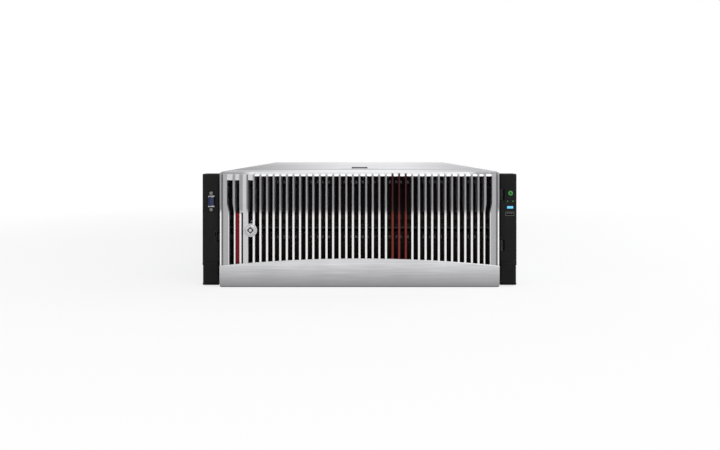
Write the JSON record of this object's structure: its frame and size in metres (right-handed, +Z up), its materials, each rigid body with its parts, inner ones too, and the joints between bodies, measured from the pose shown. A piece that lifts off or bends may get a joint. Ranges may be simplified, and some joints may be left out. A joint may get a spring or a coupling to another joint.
{
  "type": "rack server",
  "caption": "Rack-mount server with a hinged silver finned bezel, black rack ears with flaps, sliding top cover, drive bays, fans and plug-in power supplies.",
  "frame": {"origin": "middle of the bounding box, at the underside of the chassis", "axes": "+X to the right seen from the front, +Y from the bezel into the rack, +Z up"},
  "size_m": [0.4826, 0.8364, 0.1746],
  "materials": {
    "silver_anodised": "anodised satin",
    "silver_brushed": "brushed",
    "red_anodised": "anodised satin",
    "red_plastic": "satin",
    "polished_steel": "polished",
    "black_plastic": "fine grain",
    "zinc_steel": "zinc plated",
    "cover_steel": "galvanised satin",
    "dark_steel": "powder coat",
    "steel_pin": "turned",
    "green_button": "translucent satin",
    "blue_button": "translucent, lit",
    "green_lens": "clear",
    "blue_plastic": "moulded",
    "socket_black": "moulded",
    "nickel": "nickel plated",
    "board_green": "solder mask",
    "sink_aluminium": "extruded",
    "drive_metal": "cast",
    "drive_grey": "moulded",
    "catch_red": "moulded",
    "supply_case": "sheet",
    "tab_green": "moulded"
  },
  "bodies": {
    "chassis": {"left_ear": "black_plastic", "right_ear": "black_plastic", "ear_brackets": "zinc_steel", "hinge_pins": "steel_pin", "status_lenses": "green_lens", "front_usb_port": "nickel", "front_panel_board": "board_green", "front_vga_shell": "nickel", "front_vga_insert": "blue_plastic", "service_port": "nickel", "chassis_tray": "zinc_steel", "front_top_plate": "cover_steel", "drive_cage": "dark_steel", "drive_carriers": "drive_grey", "drive_modules": "drive_metal", "drive_handles": "drive_grey", "drive_catches": "catch_red", "drive_backplane": "board_green", "fan_bulkhead": "zinc_steel", "fan_frames": "socket_black", "motherboard": "board_green", "board_standoffs": "nickel", "heat_sinks": "sink_aluminium", "memory_sockets": "socket_black", "memory_modules": "board_green", "supply_cage": "zinc_steel", "power_board": "board_green", "supply_blanks": "zinc_steel", "rear_panel": "zinc_steel", "slot_covers": "nickel", "expansion_board": "board_green", "expansion_sockets": "socket_black", "rear_ports": "nickel"},
    "bezel": {"bezel_frame": "silver_anodised", "bezel_band": "silver_brushed", "accent_fins": "red_anodised", "lock_housing": "polished_steel"},
    "bezel_latch": {"latch_grip": "red_plastic", "latch_lip": "silver_anodised"},
    "lock": {"lock_cylinder": "polished_steel", "lock_cam": "zinc_steel"},
    "power": {"power_button": "green_button"},
    "identify": {"identify_button": "blue_button"},
    "flap_left": {"left_flap": "black_plastic"},
    "flap_right": {"right_flap": "black_plastic"},
    "screw_left": {"left_rack_screw": "nickel"},
    "screw_right": {"right_rack_screw": "nickel"},
    "cover": {"top_cover": "cover_steel", "cover_latch_well": "black_plastic", "cover_latch_pin": "steel_pin"},
    "cover_lever": {"cover_latch": "black_plastic"},
    "fan_1": {"fan_rotor_1": "socket_black"},
    "fan_2": {"fan_rotor_2": "socket_black"},
    "fan_3": {"fan_rotor_3": "socket_black"},
    "power_supply_1": {"supply_1": "supply_case", "supply_grip_1": "socket_black"},
    "supply_tab_1": {"supply_tab_1": "tab_green"},
    "power_supply_2": {"supply_2": "supply_case", "supply_grip_2": "socket_black"},
    "supply_tab_2": {"supply_tab_2": "tab_green"}
  },
  "joints": [
    {"name": "bezel_swing", "type": "hinge", "parent": "chassis", "child": "bezel", "pos_m": [0.2182, -0.40125, 0.09], "axis": [0, 0, 1], "range_deg": [0, 82]},
    {"name": "bezel_latch_slide", "type": "slide", "parent": "bezel", "child": "bezel_latch", "axis": [1, 0, 0], "range_m": [0, 0.002], "stiffness_N_per_m": 500},
    {"name": "lock_turn", "type": "hinge", "parent": "bezel", "child": "lock", "pos_m": [-0.16583, -0.40525, 0.0866], "axis": [0, -1, 0], "range_deg": [0, 90]},
    {"name": "power_press", "type": "slide", "parent": "chassis", "child": "power", "axis": [0, 1, 0], "range_m": [0, 0.0012], "stiffness_N_per_m": 800},
    {"name": "identify_press", "type": "slide", "parent": "chassis", "child": "identify", "axis": [0, 1, 0], "range_m": [0, 0.0012], "stiffness_N_per_m": 800},
    {"name": "left_flap_swing", "type": "hinge", "parent": "chassis", "child": "flap_left", "pos_m": [-0.2381, -0.40125, 0.02], "axis": [0, 0, -1], "range_deg": [0, 90]},
    {"name": "right_flap_swing", "type": "hinge", "parent": "chassis", "child": "flap_right", "pos_m": [0.2381, -0.40125, 0.02], "axis": [0, 0, 1], "range_deg": [0, 90]},
    {"name": "left_screw_turn", "type": "hinge", "parent": "chassis", "child": "screw_left", "pos_m": [-0.23255, -0.37525, 0.0207], "axis": [0, 1, 0], "continuous": true},
    {"name": "right_screw_turn", "type": "hinge", "parent": "chassis", "child": "screw_right", "pos_m": [0.23255, -0.37525, 0.0207], "axis": [0, 1, 0], "continuous": true},
    {"name": "cover_slide", "type": "slide", "parent": "chassis", "child": "cover", "axis": [0, 1, 0], "range_m": [0, 0.016]},
    {"name": "cover_lever_lift", "type": "hinge", "parent": "cover", "child": "cover_lever", "pos_m": [0, -0.10825, 0.1704], "axis": [-1, 0, 0], "range_deg": [0, 90]},
    {"name": "fan_1_spin", "type": "hinge", "parent": "chassis", "child": "fan_1", "pos_m": [-0.136, -0.20405, 0.0866], "axis": [0, 1, 0], "continuous": true},
    {"name": "fan_2_spin", "type": "hinge", "parent": "chassis", "child": "fan_2", "pos_m": [0, -0.20405, 0.0866], "axis": [0, 1, 0], "continuous": true},
    {"name": "fan_3_spin", "type": "hinge", "parent": "chassis", "child": "fan_3", "pos_m": [0.136, -0.20405, 0.0866], "axis": [0, 1, 0], "continuous": true},
    {"name": "supply_1_pull", "type": "slide", "parent": "chassis", "child": "power_supply_1", "axis": [0, 1, 0], "range_m": [0, 0.18]},
    {"name": "supply_1_release", "type": "slide", "parent": "power_supply_1", "child": "supply_tab_1", "axis": [-1, 0, 0], "range_m": [0, 0.002], "stiffness_N_per_m": 600},
    {"name": "supply_2_pull", "type": "slide", "parent": "chassis", "child": "power_supply_2", "axis": [0, 1, 0], "range_m": [0, 0.18]},
    {"name": "supply_2_release", "type": "slide", "parent": "power_supply_2", "child": "supply_tab_2", "axis": [-1, 0, 0], "range_m": [0, 0.002], "stiffness_N_per_m": 600}
  ],
  "couplings": [
    {"joint": "cover_lever_lift", "follows": "cover_slide", "rad_per_m": 98.066}
  ]
}
